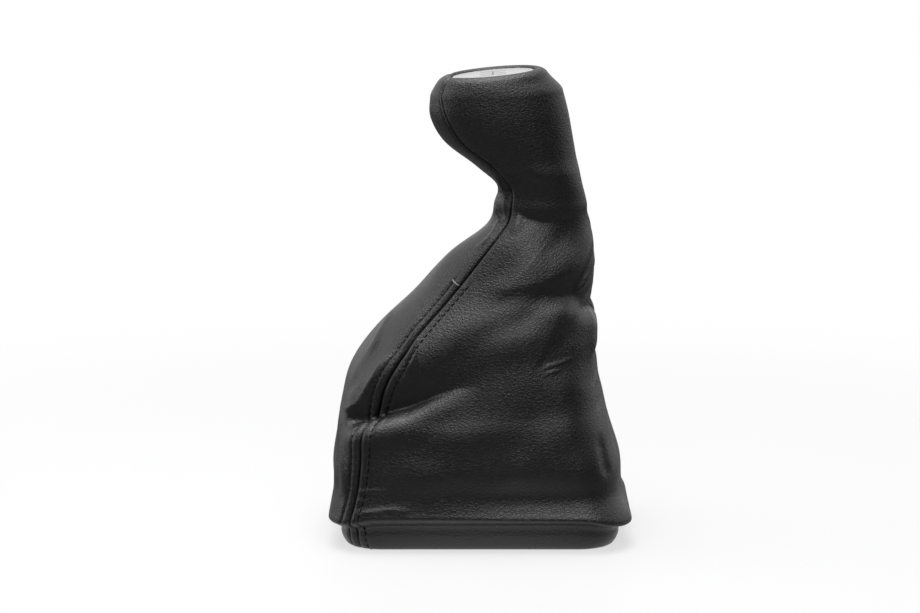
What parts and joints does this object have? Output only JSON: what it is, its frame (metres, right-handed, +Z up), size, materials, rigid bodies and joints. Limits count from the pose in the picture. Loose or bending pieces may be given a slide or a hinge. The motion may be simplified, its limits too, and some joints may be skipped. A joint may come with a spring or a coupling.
{
  "type": "gear lever gaiter",
  "caption": "Leather gear lever gaiter sewn in one with its padded knob cover, standing on a leather-covered rectangular frame, with an oval metal plate in the knob's crown.",
  "frame": {"origin": "middle of the foot, on the surface that the gaiter stands on", "axes": "+Z up; -X to the front, where the knob's nose points; -Y the left side, which the picture shows"},
  "size_m": [0.1494, 0.1148, 0.2333],
  "materials": {
    "leather": "black, fine grain, low sheen",
    "core_plastic": "moulded, unseen",
    "frame_plastic": "moulded, lightly textured",
    "plate_metal": "satin with an engraved shift pattern",
    "bush_metal": "turned"
  },
  "bodies": {
    "root": {"front_panel": "leather", "left_side_panel": "leather", "right_side_panel": "leather", "knob_core": "core_plastic", "lever_bush": "bush_metal", "plaque_carrier": "frame_plastic", "plaque": "plate_metal", "base_frame": "frame_plastic"}
  },
  "joints": []
}
